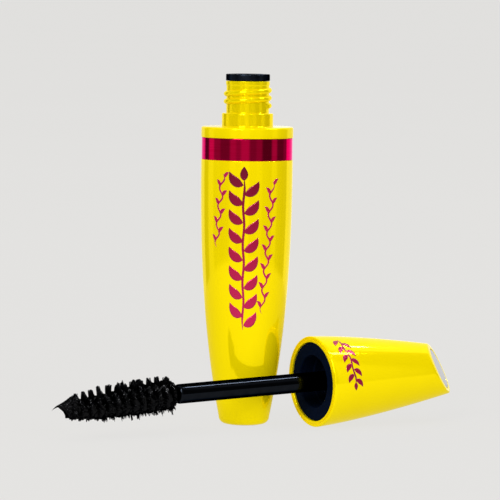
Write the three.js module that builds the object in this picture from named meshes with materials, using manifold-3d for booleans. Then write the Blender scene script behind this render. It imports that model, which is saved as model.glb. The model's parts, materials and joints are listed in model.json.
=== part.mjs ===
// A mascara tube, open. The bottle stands upright and the cap lies beside it, with the wand still
// fixed in the cap. Millimetres, +Z up; the origin is the middle of the bottle's base.

import * as THREE from "three";
import { mergeVertices } from "three/addons/utils/BufferGeometryUtils.js";
import Module from "manifold-3d";

const wasm = await Module();
wasm.setup();

// Bottle, measured up from the surface it stands on
const BODY_RADIUS = 10.6;
const TAPER_START = 62;
const TAPER_DROP = 5.09;
const TAPER_POWER = 2.5;
const BASE_CORNER = 1.7;
const BODY_WALL = 1.3;
const BODY_FLOOR = 1.5;
const LABEL_RADIUS = 3.7;
const LABEL_THICKNESS = 0.12;
const BODY_BASE = 0.14;
const BAND_BOTTOM = 61.4;
const BAND_TOP = 66.5;
const BAND_RADIUS = 10.5;
const BAND_SEAT = 9.9;
const SHOULDER_RADIUS = 10.65;
const SHOULDER_TOP = 69;
const SHOULDER_EDGE = 0.5;
const COLLAR_RADIUS = 5.92;
const COLLAR_TOP = 72.1;
const COLLAR_CHAMFER = 0.25;
const NECK_RADIUS = 4.95;
const NECK_BORE = 4.1;
const NECK_BORE_END = 68;
const NECK_TOP = 79.5;
const LIP_RADIUS = 5.08;
const LIP_HEIGHT = 0.9;
const LIP_CHAMFER = 0.15;
const RESERVOIR_WALL = 1.0;
const RESERVOIR_FLOOR = 1.2;
const RESERVOIR_WAIST = 58.4;
const THROAT_RADIUS = 6.1;
const THROAT_HEIGHT = 65.5;
const FIT = 0.08;

// Thread, right-handed, on the neck and in the cap
const THREAD_PITCH = 1.78;
const THREAD_TURNS = 2.17;
const THREAD_START = 73.7;
const THREAD_FROM = THREE.MathUtils.degToRad(-30);
const THREAD_RIDGE = 0.62;
const THREAD_STEPS_PER_TURN = 16;

// Wiper, the soft insert in the neck
const WIPER_TOP = 81.1;
const WIPER_FLANGE_RADIUS = 5.08;
const WIPER_SLEEVE_RADIUS = 3.95;
const WIPER_SLEEVE_END = 71;
const WIPER_END = 65;
const WIPER_WALL = 0.6;
const WIPER_ORIFICE = 2.35;
const WIPER_CHAMFER = 0.15;

// Formula left in the reservoir, with the well that the brush keeps open
const FORMULA_TOP = 52;
const FORMULA_GAP = 0.1;
const FORMULA_LEAST = 0.7;
const WELL_RADIUS = 4.8;
const WELL_FLOOR = 4.2;

// Cap, measured along its own axis from its mouth
const CAP_RADIUS = 10.5;
const CAP_LENGTH = 42;
const CAP_DROP = 5.1;
const CAP_DROP_LENGTH = 38;
const CAP_POWER = 1.38;
const CAP_WALL = 1.35;
const CAP_END_AT = 35.3;
const CAP_END_TILT = THREE.MathUtils.degToRad(42);
const CAP_END_WALL = 1.3;
const RIM_GROOVE = 0.25;
const POCKET_DEPTH = 0.5;
const POCKET_INSET = 1.15;
const PLATE_RECESS = 0.05;
const PLATE_BACK = 0.4;
const TURNED_GAP = 0.25;
const CUT_PAST = 1;
const CUTTER_SIZE = 120;

// Inner cap, with the thread that holds the cap on the neck and the socket that holds the stem
const INNER_FACE = 0.35;
const INNER_FACE_THICKNESS = 1.1;
const INNER_ENTRY_RADIUS = 6.05;
const INNER_ENTRY_DEPTH = 3.8;
const INNER_ENTRY_CHAMFER = 0.3;
const INNER_BORE = 5.75;
const INNER_TUBE = 6.9;
const INNER_SHELF = 12.5;
const INNER_ROOF = 13.5;
const INNER_ROOF_TOP = 15;
const SOCKET_RADIUS = 3.5;
const SOCKET_END = 22;
const INNER_THREAD_RIDGE = 0.35;

// Seal ring, loose round the root of the stem
const SEAL_THICKNESS = 0.8;
const SEAL_OUTER = 4.9;
const SEAL_INNER = 2.6;
const SEAL_AT = 12.4;

// Wand, measured back from the cap's mouth
const STEM_RADIUS = 2.25;
const STEM_ROOT = 20;
const STEM_LENGTH = 35.9;
const STEM_NOSE = 0.7;
const WIRE_HOLE_RADIUS = 0.75;
const WIRE_HOLE_DEPTH = 7;
const WIRE_STRAND = 0.26;
const WIRE_LAP = 0.35;
const WIRE_TWIST = 4.2;
const WIRE_STEPS = 40;
const BRUSH_FIRST_ROW = 39.4;
const BRUSH_PITCH = 2.1;
const BRUSH_ROWS = 12;
const BRUSH_RADIUS = 4.35;
const BRUSH_TIP_RADIUS = 2.5;
const BRUSH_TAPER_FROM = 45.4;
const BRUSH_TAPER_POWER = 1.8;
const BRUSH_END = 64;
const BRISTLE_ROOT = 0.75;
const ROW_THICKNESS = 1;
const ROW_SEGMENTS = 14;
const ROW_TURN = THREE.MathUtils.degToRad(335);

// Where the open cap lies: the middle of its mouth, the way its end points, and its turn
const CAP_HEADING = THREE.MathUtils.degToRad(30.4);
const CAP_RISE = THREE.MathUtils.degToRad(2.25);
const MOUTH_AT = new THREE.Vector3(15.6, -4.95, CAP_RADIUS * Math.cos(CAP_RISE));
const CAP_SPIN = THREE.MathUtils.degToRad(56);

// Sides of the large and the small round pieces
const SMOOTH = 32;
const MEDIUM = 24;

const YELLOW = { color: 0xf7de00, roughness: 0.22, metalness: 0 };
const RASPBERRY = { color: 0x9c0035, roughness: 0.2, metalness: 0.9 };
const BLACK_GLOSS = { color: 0x07080c, roughness: 0.2, metalness: 0 };
const BLACK_MATT = { color: 0x0b0b0f, roughness: 0.5, metalness: 0 };
const BLACK_RUBBER = { color: 0x10131b, roughness: 0.45, metalness: 0 };
const BRISTLE_BLACK = { color: 0x050506, roughness: 0.4, metalness: 0 };
const WET_BLACK = { color: 0x030304, roughness: 0.25, metalness: 0 };
const SILVER = { color: 0xd5d6da, roughness: 0.35, metalness: 0.8 };
const STEEL = { color: 0xa8a8a8, roughness: 0.3, metalness: 1 };
const PAPER = { color: 0xeceae4, roughness: 0.7, metalness: 0 };

// Geometry helpers

function point(radius, height) {
  return new THREE.Vector2(radius, height);
}

function turned(outline, segments) {
  const geometry = new THREE.LatheGeometry(outline, segments);
  geometry.rotateX(Math.PI / 2);
  return welded(geometry);
}

function welded(geometry) {
  geometry.deleteAttribute("normal");
  geometry.deleteAttribute("uv");
  return mergeVertices(geometry, 1e-4);
}

function solid(geometry) {
  const mesh = new wasm.Mesh({
    numProp: 3,
    vertProperties: new Float32Array(geometry.attributes.position.array),
    triVerts: new Uint32Array(geometry.index.array),
  });
  return new wasm.Manifold(mesh);
}

function geometryOf(body) {
  const mesh = body.getMesh();
  const geometry = new THREE.BufferGeometry();
  geometry.setAttribute("position", new THREE.BufferAttribute(mesh.vertProperties, 3));
  geometry.setIndex(new THREE.BufferAttribute(mesh.triVerts, 1));
  return geometry;
}

function piece(name, geometry, look) {
  const mesh = new THREE.Mesh(geometry, new THREE.MeshStandardMaterial(look));
  mesh.name = name;
  return mesh;
}

// Heights from one end of a stretch to the other, with both ends
function stretch(from, to, count) {
  return Array.from({ length: count + 1 }, (_, i) => from + ((to - from) * i) / count);
}

function roundedCorner(centreRadius, centreHeight, radius, fromAngle, toAngle, steps) {
  return stretch(fromAngle, toAngle, steps).map((angle) =>
    point(centreRadius + radius * Math.cos(angle), centreHeight + radius * Math.sin(angle)),
  );
}

// The thread's path, from its low end up
class Helix extends THREE.Curve {
  constructor(radius, start) {
    super();
    Object.assign(this, { radius, start });
  }

  getPoint(t) {
    const turns = t * THREAD_TURNS;
    const angle = THREAD_FROM + turns * 2 * Math.PI;
    const height = this.start + turns * THREAD_PITCH;
    return new THREE.Vector3(this.radius * Math.cos(angle), this.radius * Math.sin(angle), height);
  }
}

function threadRidge(radius, start, ridge) {
  const section = new THREE.Shape().absarc(0, 0, ridge, 0, 2 * Math.PI);
  const geometry = new THREE.ExtrudeGeometry(section, {
    steps: Math.round(THREAD_TURNS * THREAD_STEPS_PER_TURN),
    curveSegments: 3,
    bevelEnabled: false,
    extrudePath: new Helix(radius, start),
  });
  return solid(welded(geometry));
}

// Bottle

function bodyRadius(height) {
  const below = Math.max(0, TAPER_START - height) / TAPER_START;
  return BODY_RADIUS - TAPER_DROP * below ** TAPER_POWER;
}

function reservoirRadius(height) {
  return bodyRadius(Math.min(height, TAPER_START)) - BODY_WALL - FIT;
}

function bodyShell() {
  const cornerTop = BODY_BASE + BASE_CORNER;
  const cornerCentre = bodyRadius(cornerTop) - BASE_CORNER;
  const inside = (height) => point(bodyRadius(height) - BODY_WALL, height);
  const insideFloor = BODY_BASE + BODY_FLOOR;
  const outline = [
    point(0, BODY_BASE),
    ...roundedCorner(cornerCentre, cornerTop, BASE_CORNER, -Math.PI / 2, 0, 4),
    ...stretch(cornerTop, BAND_BOTTOM, 9).slice(1).map((z) => point(bodyRadius(z), z)),
    point(BAND_SEAT, BAND_BOTTOM),
    point(BAND_SEAT, BAND_TOP - FIT),
    point(bodyRadius(TAPER_START) - BODY_WALL, BAND_TOP - FIT),
    ...stretch(BAND_BOTTOM, insideFloor, 8).map(inside),
    point(0, insideFloor),
  ];
  return piece("body_shell", turned(outline, SMOOTH), YELLOW);
}

function baseLabel() {
  const outline = [
    point(0, 0),
    point(LABEL_RADIUS, 0),
    point(LABEL_RADIUS, LABEL_THICKNESS),
    point(0, LABEL_THICKNESS),
  ];
  return piece("base_label", turned(outline, MEDIUM), PAPER);
}

function shoulderBand() {
  const low = BAND_BOTTOM + FIT / 2;
  const high = BAND_TOP - FIT / 2;
  const inner = BAND_SEAT + FIT;
  const outline = [
    point(inner, low),
    point(BAND_RADIUS, low),
    point(BAND_RADIUS, high),
    point(inner, high),
    point(inner, low),
  ];
  return piece("shoulder_band", turned(outline, SMOOTH), RASPBERRY);
}

function innerBottle() {
  const bottom = BODY_BASE + BODY_FLOOR + FIT;
  const floor = bottom + RESERVOIR_FLOOR;
  const edgeCentre = point(SHOULDER_RADIUS - SHOULDER_EDGE, SHOULDER_TOP - SHOULDER_EDGE);
  const outside = (z) => point(reservoirRadius(z), z);
  const inside = (z) => point(reservoirRadius(z) - RESERVOIR_WALL, z);
  const outline = [
    point(0, bottom),
    ...stretch(bottom, RESERVOIR_WAIST, 8).map(outside),
    point(reservoirRadius(TAPER_START), BAND_TOP),
    point(SHOULDER_RADIUS, BAND_TOP),
    ...roundedCorner(edgeCentre.x, edgeCentre.y, SHOULDER_EDGE, 0, Math.PI / 2, 3),
    point(COLLAR_RADIUS, SHOULDER_TOP),
    point(COLLAR_RADIUS, COLLAR_TOP - COLLAR_CHAMFER),
    point(COLLAR_RADIUS - COLLAR_CHAMFER, COLLAR_TOP),
    point(NECK_RADIUS, COLLAR_TOP),
    point(NECK_RADIUS, NECK_TOP - LIP_HEIGHT),
    point(LIP_RADIUS, NECK_TOP - LIP_HEIGHT + LIP_CHAMFER),
    point(LIP_RADIUS, NECK_TOP),
    point(NECK_BORE, NECK_TOP),
    point(NECK_BORE, NECK_BORE_END),
    point(THROAT_RADIUS, THROAT_HEIGHT),
    ...stretch(RESERVOIR_WAIST, floor, 7).map(inside),
    point(0, floor),
  ];
  const body = solid(turned(outline, SMOOTH));
  const ridge = threadRidge(NECK_RADIUS, THREAD_START, THREAD_RIDGE);
  return piece("inner_bottle", geometryOf(body.add(ridge)), YELLOW);
}

function wiper() {
  const flangeBottom = NECK_TOP + FIT;
  const inner = WIPER_SLEEVE_RADIUS - WIPER_WALL;
  const outline = [
    point(inner, WIPER_TOP),
    point(inner, WIPER_SLEEVE_END),
    point(WIPER_ORIFICE, WIPER_END),
    point(WIPER_ORIFICE + WIPER_WALL, WIPER_END),
    point(WIPER_SLEEVE_RADIUS, WIPER_SLEEVE_END),
    point(WIPER_SLEEVE_RADIUS, flangeBottom),
    point(WIPER_FLANGE_RADIUS - WIPER_CHAMFER, flangeBottom),
    point(WIPER_FLANGE_RADIUS, flangeBottom + WIPER_CHAMFER),
    point(WIPER_FLANGE_RADIUS, WIPER_TOP - WIPER_CHAMFER),
    point(WIPER_FLANGE_RADIUS - WIPER_CHAMFER, WIPER_TOP),
    point(inner, WIPER_TOP),
  ];
  return piece("wiper", turned(outline, MEDIUM), BLACK_RUBBER);
}

function mascaraFormula() {
  const bottom = BODY_BASE + BODY_FLOOR + RESERVOIR_FLOOR + 2 * FIT;
  const outer = (z) => reservoirRadius(z) - RESERVOIR_WALL - FORMULA_GAP;
  const well = (z) => Math.min(WELL_RADIUS, outer(z) - FORMULA_LEAST);
  const outline = [
    point(0, bottom),
    ...stretch(bottom, FORMULA_TOP, 7).map((z) => point(outer(z), z)),
    ...stretch(FORMULA_TOP, WELL_FLOOR, 4).map((z) => point(well(z), z)),
    point(0, WELL_FLOOR),
  ];
  return piece("mascara_formula", turned(outline, MEDIUM), WET_BLACK);
}

// Cap

function capRadius(along) {
  return CAP_RADIUS - CAP_DROP * (Math.max(0, along) / CAP_DROP_LENGTH) ** CAP_POWER;
}

// The solid inside the cap's outer surface moved in by some distance, from one place to its far end
function capCore(inset, from) {
  const outline = [
    point(0, from),
    ...stretch(from, CAP_LENGTH, 10).map((s) => point(capRadius(s) - inset, s)),
    point(0, CAP_LENGTH),
  ];
  return solid(turned(outline, SMOOTH));
}

// Everything on the mouth's side of the slanted end, moved in by some distance
function beforeEnd(depth) {
  const block = new THREE.BoxGeometry(CUTTER_SIZE, CUTTER_SIZE, CUTTER_SIZE);
  block.translate(0, 0, -CUTTER_SIZE / 2 - depth);
  block.rotateY(CAP_END_TILT);
  block.translate(0, 0, CAP_END_AT);
  return solid(welded(block));
}

function rimGroove() {
  const inner = CAP_RADIUS - (CAP_WALL + RIM_GROOVE) / 2;
  const outer = inner + RIM_GROOVE;
  const outline = [
    point(inner, -CUT_PAST),
    point(outer, -CUT_PAST),
    point(outer, RIM_GROOVE),
    point(inner, RIM_GROOVE),
    point(inner, -CUT_PAST),
  ];
  return solid(turned(outline, SMOOTH));
}

function capShell() {
  const outer = capCore(0, 0).intersect(beforeEnd(0));
  const hollow = capCore(CAP_WALL, -CUT_PAST).intersect(beforeEnd(POCKET_DEPTH + CAP_END_WALL));
  const pocket = capCore(POCKET_INSET, 0).subtract(beforeEnd(POCKET_DEPTH));
  const shell = outer.subtract(hollow).subtract(pocket).subtract(rimGroove());
  return piece("cap_shell", geometryOf(shell), YELLOW);
}

function capEndPlate() {
  const core = capCore(POCKET_INSET + TURNED_GAP, 0);
  const plate = core.intersect(beforeEnd(PLATE_RECESS)).subtract(beforeEnd(PLATE_BACK));
  return piece("cap_end_plate", geometryOf(plate), SILVER);
}

function innerCap() {
  const rim = (s) => capRadius(s) - CAP_WALL - TURNED_GAP;
  const faceTop = INNER_FACE + INNER_FACE_THICKNESS;
  const outline = [
    point(INNER_ENTRY_RADIUS, INNER_FACE),
    point(rim(INNER_FACE), INNER_FACE),
    point(rim(faceTop), faceTop),
    point(INNER_TUBE, faceTop),
    point(INNER_TUBE, INNER_SHELF),
    point(rim(INNER_SHELF), INNER_SHELF),
    point(rim(INNER_ROOF_TOP), INNER_ROOF_TOP),
    point(SOCKET_RADIUS, INNER_ROOF_TOP),
    point(SOCKET_RADIUS, SOCKET_END),
    point(0, SOCKET_END),
    point(0, STEM_ROOT + TURNED_GAP),
    point(STEM_RADIUS + TURNED_GAP, STEM_ROOT + TURNED_GAP),
    point(STEM_RADIUS + TURNED_GAP, INNER_ROOF),
    point(INNER_BORE, INNER_ROOF),
    point(INNER_BORE, INNER_ENTRY_DEPTH + INNER_ENTRY_CHAMFER),
    point(INNER_ENTRY_RADIUS, INNER_ENTRY_DEPTH),
    point(INNER_ENTRY_RADIUS, INNER_FACE),
  ];
  const body = solid(turned(outline, SMOOTH));
  const start = THREAD_START - SHOULDER_TOP + THREAD_PITCH / 2;
  const ridge = threadRidge(INNER_BORE, start, INNER_THREAD_RIDGE);
  return piece("inner_cap", geometryOf(body.add(ridge)), BLACK_MATT);
}

function sealRing() {
  const outline = [
    point(SEAL_INNER, SEAL_AT),
    point(SEAL_OUTER, SEAL_AT),
    point(SEAL_OUTER, SEAL_AT + SEAL_THICKNESS),
    point(SEAL_INNER, SEAL_AT + SEAL_THICKNESS),
    point(SEAL_INNER, SEAL_AT),
  ];
  return piece("seal_ring", turned(outline, MEDIUM), BLACK_RUBBER);
}

// Wand

function wandStem() {
  const end = -STEM_LENGTH;
  const outline = [
    point(0, end + WIRE_HOLE_DEPTH),
    point(WIRE_HOLE_RADIUS, end + WIRE_HOLE_DEPTH),
    point(WIRE_HOLE_RADIUS, end),
    ...roundedCorner(STEM_RADIUS - STEM_NOSE, end + STEM_NOSE, STEM_NOSE, -Math.PI / 2, 0, 4),
    point(STEM_RADIUS, STEM_ROOT),
    point(0, STEM_ROOT),
  ];
  return piece("wand_stem", turned(outline, MEDIUM), BLACK_GLOSS);
}

// Two strands side by side, drawn as one outline and twisted along their length
function brushWire() {
  const section = new THREE.Shape();
  const lap = Math.asin(WIRE_LAP);
  section.absarc(WIRE_STRAND, 0, WIRE_STRAND, lap - Math.PI, Math.PI - lap);
  section.absarc(-WIRE_STRAND, 0, WIRE_STRAND, lap, 2 * Math.PI - lap);
  const from = -BRUSH_END;
  const to = -STEM_LENGTH + WIRE_HOLE_DEPTH - TURNED_GAP;
  const geometry = new THREE.ExtrudeGeometry(section, {
    depth: to - from,
    steps: WIRE_STEPS,
    curveSegments: 3,
    bevelEnabled: false,
  });
  const place = geometry.attributes.position;
  const at = new THREE.Vector3();
  const along = new THREE.Vector3(0, 0, 1);
  for (let i = 0; i < place.count; i += 1) {
    at.fromBufferAttribute(place, i);
    at.applyAxisAngle(along, (at.z * 2 * Math.PI) / WIRE_TWIST);
    place.setXYZ(i, at.x, at.y, at.z + from);
  }
  return piece("brush_wire", welded(geometry), STEEL);
}

function brushRadius(along) {
  const toTip = Math.max(0, (along - BRUSH_TAPER_FROM) / (BRUSH_END - BRUSH_TAPER_FROM));
  return BRUSH_RADIUS - (BRUSH_RADIUS - BRUSH_TIP_RADIUS) * toTip ** BRUSH_TAPER_POWER;
}

// One turn of the bristles' screw: a bar bent round the wire and drawn out along it
function bristleRow(number) {
  const bar = new THREE.BoxGeometry(1, 1, ROW_THICKNESS, ROW_SEGMENTS, 1, 1);
  const place = bar.attributes.position;
  for (let i = 0; i < place.count; i += 1) {
    const turn = place.getX(i) + 0.5;
    const outward = place.getY(i) + 0.5;
    const along = BRUSH_FIRST_ROW + (number - 1 + turn) * BRUSH_PITCH - BRUSH_PITCH / 2;
    const radius = BRISTLE_ROOT + outward * (brushRadius(along) - BRISTLE_ROOT);
    const angle = -turn * ROW_TURN;
    const x = radius * Math.cos(angle);
    const y = radius * Math.sin(angle);
    place.setXYZ(i, x, y, place.getZ(i) - along);
  }
  const name = `bristle_row_${String(number).padStart(2, "0")}`;
  return piece(name, welded(bar), BRISTLE_BLACK);
}

function bottle() {
  const group = new THREE.Group();
  group.add(bodyShell(), baseLabel(), shoulderBand(), innerBottle(), wiper(), mascaraFormula());
  return group;
}

function capAndWand() {
  const group = new THREE.Group();
  group.add(capShell(), capEndPlate(), innerCap(), sealRing(), wandStem(), brushWire());
  for (let number = 1; number <= BRUSH_ROWS; number += 1) {
    group.add(bristleRow(number));
  }
  // Turned about its own axis, laid down, then swung to its heading
  group.rotation.set(0, Math.PI / 2 - CAP_RISE, CAP_HEADING, "ZYX");
  group.rotateZ(Math.PI + CAP_SPIN);
  group.position.copy(MOUTH_AT);
  return group;
}

const mascaraTube = new THREE.Group();
mascaraTube.add(bottle(), capAndWand());

export default mascaraTube;
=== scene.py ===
"""Looks of the open mascara tube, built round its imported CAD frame.

Sizes are in millimetres and become metres when a mesh is made. The bottle stands at the origin
along +Z. The cap and wand have a frame of their own: its origin is the middle of the cap's mouth,
and its Z runs from the brush to the cap's slanted end.
"""

import json
import math
import random

import bmesh
import bpy
import numpy as np
from mathutils import Matrix, Vector, noise


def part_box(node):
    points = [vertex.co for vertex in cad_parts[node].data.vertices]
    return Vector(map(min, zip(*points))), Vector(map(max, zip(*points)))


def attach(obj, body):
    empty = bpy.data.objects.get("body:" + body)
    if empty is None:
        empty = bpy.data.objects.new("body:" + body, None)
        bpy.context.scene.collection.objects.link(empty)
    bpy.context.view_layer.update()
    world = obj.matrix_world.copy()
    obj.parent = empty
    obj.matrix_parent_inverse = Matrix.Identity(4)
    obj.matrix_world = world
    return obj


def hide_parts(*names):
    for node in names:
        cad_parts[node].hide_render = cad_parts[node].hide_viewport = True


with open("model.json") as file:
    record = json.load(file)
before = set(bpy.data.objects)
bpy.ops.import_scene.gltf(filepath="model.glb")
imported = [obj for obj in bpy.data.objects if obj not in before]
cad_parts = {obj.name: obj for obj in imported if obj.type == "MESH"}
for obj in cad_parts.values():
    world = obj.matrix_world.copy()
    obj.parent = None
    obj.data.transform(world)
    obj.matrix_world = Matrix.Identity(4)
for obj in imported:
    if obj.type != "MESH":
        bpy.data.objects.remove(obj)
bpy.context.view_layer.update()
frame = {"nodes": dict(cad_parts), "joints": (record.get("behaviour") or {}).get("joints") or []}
scene = bpy.context.scene

MM = 0.001
TURN = 2 * math.pi

# Bottle, as in the CAD
BODY_RADIUS = 10.6
TAPER_START = 62.0
TAPER_DROP = 5.09
TAPER_POWER = 2.5
BASE_CORNER = 1.7
BODY_WALL = 1.3
BODY_FLOOR = 1.5
BAND_SEAT = 9.9
SHOULDER_TOP = 69.0
SHOULDER_EDGE = 0.5
COLLAR_RADIUS = 5.92
COLLAR_TOP = 72.1
NECK_RADIUS = 4.95
NECK_BORE = 4.1
LIP_RADIUS = 5.08
LIP_HEIGHT = 0.9
RESERVOIR_WALL = 1.0
RESERVOIR_FLOOR = 1.2
FIT = 0.08
THREAD_PITCH = 1.78
THREAD_TURNS = 2.17
THREAD_FROM = math.radians(-30)
THREAD_START = 73.7
THREAD_HEIGHT = 0.62
THREAD_HALF_WIDTH = 0.62
WIPER_SLEEVE = 3.95
WIPER_SLEEVE_END = 71.0
WIPER_ORIFICE = 2.35
WIPER_WALL = 0.6

# Cap and wand, as in the CAD
CAP_RADIUS = 10.5
CAP_DROP = 5.1
CAP_DROP_LENGTH = 38.0
CAP_POWER = 1.38
CAP_WALL = 1.35
CAP_END_AT = 35.3
CAP_END_TILT = math.radians(42)
CAP_END_WALL = 1.3
CAP_SPIN = math.radians(56)
PLATE_INSET = 1.15
PLATE_THICKNESS = 0.5
PLATE_GAP = 0.18
INNER_FACE = 0.35
INNER_ENTRY_RADIUS = 6.05
INNER_ENTRY_DEPTH = 3.8
INNER_BORE = 5.75
INNER_TUBE = 6.9
INNER_ROOF = 13.5
INNER_ROOF_TOP = 15.0
SOCKET_RADIUS = 3.5
SOCKET_END = 22.0
STEM_RADIUS = 2.25
STEM_ROOT = 20.0
STEM_LENGTH = 35.9
WIRE_STRAND = 0.26
WIRE_TWIST = 4.2
BRUSH_FIRST_ROW = 39.4
BRUSH_PITCH = 2.1
BRUSH_ROWS = 12
BRUSH_RADIUS = 4.35
BRUSH_TIP_RADIUS = 2.5
BRUSH_END = 64.0

# Camera: a long lens, a little above the middle of the bottle
CAMERA_DISTANCE = 925.0
CAMERA_PITCH = math.radians(3.82)
CAMERA_ROLL = math.radians(0.71)
CAMERA_AIM = (0.95, 0.0, 40.42)
CAMERA_LENS = 287.9
CAMERA_SENSOR = 36.0
CAMERA_SEES_TO = 200

AROUND = 144


def wand_matrix():
    """Places the wand's own frame where the CAD's hinge has its axis."""
    hinge = next(j for j in frame["joints"] if j["name"] == "cap_turn")
    along = Vector(hinge["axis"]).normalized()
    up = (Vector((0, 0, 1)) - along * along.z).normalized()
    side = along.cross(up)
    x = up * math.cos(CAP_SPIN) + side * math.sin(CAP_SPIN)
    y = along.cross(x)
    turn = Matrix((x, y, along)).transposed().to_4x4()
    return Matrix.Translation(Vector(hinge["pos_m"]) / MM) @ turn


WAND = wand_matrix()


# Mesh helpers


def circle(radius, height, count=AROUND):
    angles = np.arange(count) * TURN / count
    level = np.full(count, float(height))
    return np.stack([radius * np.cos(angles), radius * np.sin(angles), level], axis=1)


def rings_of(outline):
    """A ring for each (radius, height), or one point where the radius is nil."""
    return [circle(r, z) if r > 0 else [(0.0, 0.0, z)] for r, z in outline]


def skin(rings, closed=False):
    """Vertices and faces of a surface through rings of points. A one-point ring closes an end."""
    points, faces, starts = [], [], []
    for ring in rings:
        starts.append(len(points))
        points.extend(map(tuple, ring))
    pairs = list(zip(range(len(rings) - 1), range(1, len(rings)), strict=True))
    if closed:
        pairs.append((len(rings) - 1, 0))
    for a, b in pairs:
        na, nb, sa, sb = len(rings[a]), len(rings[b]), starts[a], starts[b]
        if na == 1:
            faces += [(sa, sb + (i + 1) % nb, sb + i) for i in range(nb)]
        elif nb == 1:
            faces += [(sa + i, sa + (i + 1) % na, sb) for i in range(na)]
        else:
            next_i = [(i + 1) % na for i in range(na)]
            faces += [(sa + i, sa + j, sb + j, sb + i) for i, j in enumerate(next_i)]
    return points, faces


def joined(parts):
    """One list of vertices and one of faces from several."""
    points, faces = [], []
    for some_points, some_faces in parts:
        base = len(points)
        points.extend(some_points)
        faces.extend(tuple(base + i for i in face) for face in some_faces)
    return points, faces


def new_object(name, data):
    obj = bpy.data.objects.new(name, data)
    scene.collection.objects.link(obj)
    return obj


def piece(name, shape, body, material, matrix=None, sharp=40, replaces=()):
    """A named mesh that rides a body. Edges sharper than so many degrees stay sharp."""
    points, faces = shape
    placed = np.array(points, float)
    if matrix is not None:
        turn = np.array(matrix)
        placed = placed @ turn[:3, :3].T + turn[:3, 3]
    mesh = bpy.data.meshes.new(name)
    mesh.from_pydata((placed * MM).tolist(), [], faces)
    clean = bmesh.new()
    clean.from_mesh(mesh)
    bmesh.ops.recalc_face_normals(clean, faces=clean.faces)
    clean.to_mesh(mesh)
    clean.free()
    mesh.shade_smooth()
    if sharp:
        mesh.set_sharp_from_angle(angle=math.radians(sharp))
    mesh.materials.append(MATERIALS[material])
    obj = new_object(name, mesh)
    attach(obj, body)
    if replaces:
        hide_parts(*replaces)


def arc(centre_r, centre_z, radius, start, end, count):
    """Points round a corner of an outline, from one heading in degrees to another."""
    angles = np.linspace(math.radians(start), math.radians(end), count + 1)
    return [(centre_r + radius * math.cos(a), centre_z + radius * math.sin(a)) for a in angles]


def lower_corner(r, z, size, count):
    """Rounds the outer corner at (r, z) from the underside to the side."""
    return arc(r - size, z + size, size, -90, 0, count)


def upper_corner(r, z, size, count):
    """Rounds the outer corner at (r, z) from the side to the top."""
    return arc(r - size, z - size, size, 0, 90, count)


def root(r, z, size, count):
    """Rounds the foot of a wall of radius r that stands on z."""
    return arc(r + size, z + size, size, -90, -180, count)


def steps(start, end, count):
    return np.linspace(start, end, count + 1)


def blend_through(stops, at):
    places, values = zip(*stops, strict=True)
    return float(np.interp(at, places, values))


# Material helpers


class Graph:
    """Short calls for building the nodes of a material or of the world."""

    def __init__(self, owner):
        owner.use_nodes = True
        self.owner = owner
        self.nodes = owner.node_tree.nodes
        self.shader = self.nodes.get("Principled BSDF")
        self.coordinates = None

    def feed(self, node, *values, **named):
        """Gives a node's inputs values or other nodes' outputs, in order or by name."""
        for key, value in (*enumerate(values), *named.items()):
            socket = node.inputs[key if isinstance(key, int) else key.replace("_", " ")]
            if isinstance(value, bpy.types.NodeSocket):
                self.owner.node_tree.links.new(value, socket)
            else:
                socket.default_value = value
        return node

    def new(self, kind, *values, **named):
        return self.feed(self.nodes.new("ShaderNode" + kind), *values, **named)

    def set(self, **named):
        self.feed(self.shader, **named)
        return self

    def place(self, scale=(1, 1, 1)):
        if self.coordinates is None:
            self.coordinates = self.new("TexCoord").outputs["Object"]
        return self.new("Mapping", Vector=self.coordinates, Scale=scale).outputs["Vector"]

    def noise(self, scale, detail=3.0, roughness=0.5, stretch=(1, 1, 1)):
        marks = {"Scale": scale, "Detail": detail, "Roughness": roughness}
        return self.new("TexNoise", Vector=self.place(stretch), **marks).outputs["Fac"]

    def ramp(self, source, stops):
        node = self.new("ValToRGB", Fac=source)
        elements = node.color_ramp.elements
        while len(elements) < len(stops):
            elements.new(0.5)
        for element, (at, colour) in zip(elements, stops, strict=True):
            element.position = at
            element.color = (*colour, 1)
        return node.outputs["Color"]

    def range(self, source, low, high, from_low=0.0, from_high=1.0):
        limits = {"From_Min": from_low, "From_Max": from_high, "To_Min": low, "To_Max": high}
        return self.new("MapRange", Value=source, **limits).outputs["Result"]

    def height(self):
        """The object's own height, in metres."""
        return self.new("SeparateXYZ", Vector=self.place()).outputs["Z"]

    def mottled(self, source, first, second, until=0.7, since=0.3):
        """Base colour that goes from the first to the second between two levels of a noise."""
        return self.set(Base_Color=self.ramp(source, [(since, first), (until, second)]))

    def rough(self, source, low, high):
        return self.set(Roughness=self.range(source, low, high))

    def bump(self, source, strength, distance):
        node = self.new("Bump", Strength=strength, Distance=distance, Height=source)
        return self.set(Normal=node.outputs["Normal"])


YELLOW = (0.98, 0.775, 0.0)
LACQUER_TINT = (1, 0.94, 0.03, 1)
BAND_TINT = (1, 0.5, 0.85, 1)
GRAZING = (0.1, 0.12, 0.15, 1)
PALE = (0.76, 0.753, 0.738, 1)


def surface(name, marks, colours, rough, relief=0.0, depth=0.0, until=0.7):
    """A material whose colour, roughness and relief all follow the same fine marks."""
    g = Graph(bpy.data.materials.new(name))
    source = g.noise(**marks)
    g.mottled(source, *colours, until=until)
    g.rough(source, *rough)
    return g.bump(source, relief, depth) if relief else g


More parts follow.
